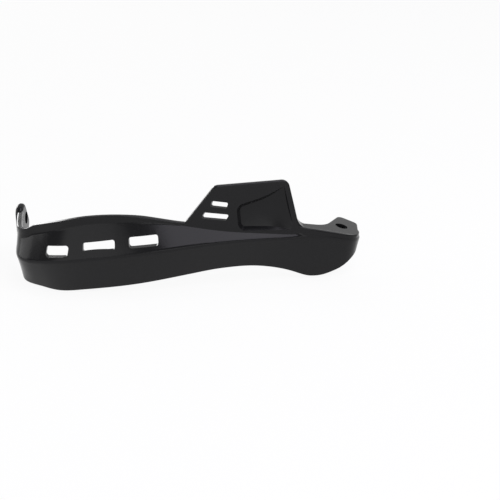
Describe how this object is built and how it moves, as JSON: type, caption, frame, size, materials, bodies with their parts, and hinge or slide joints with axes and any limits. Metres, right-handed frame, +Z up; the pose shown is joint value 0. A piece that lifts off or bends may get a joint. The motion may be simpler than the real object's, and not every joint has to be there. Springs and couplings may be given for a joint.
{
  "type": "motorcycle hand guard",
  "caption": "One-piece moulded hand guard that wraps round a handlebar grip, with a vented wall, a bolt lug at the bar end, a raised fin and a drooping clamp lug.",
  "frame": {"origin": "middle of the bar-end bore, on the lug's inner face that meets the handlebar's end", "axes": "+X along the handlebar from its end towards the clamp, +Y towards the rider, +Z up; the guard's wall faces -Y"},
  "size_m": [0.2921, 0.0917, 0.0901],
  "materials": {
    "black_plastic": "satin moulded black"
  },
  "bodies": {
    "root": {"hand_guard": "black_plastic"}
  },
  "joints": []
}
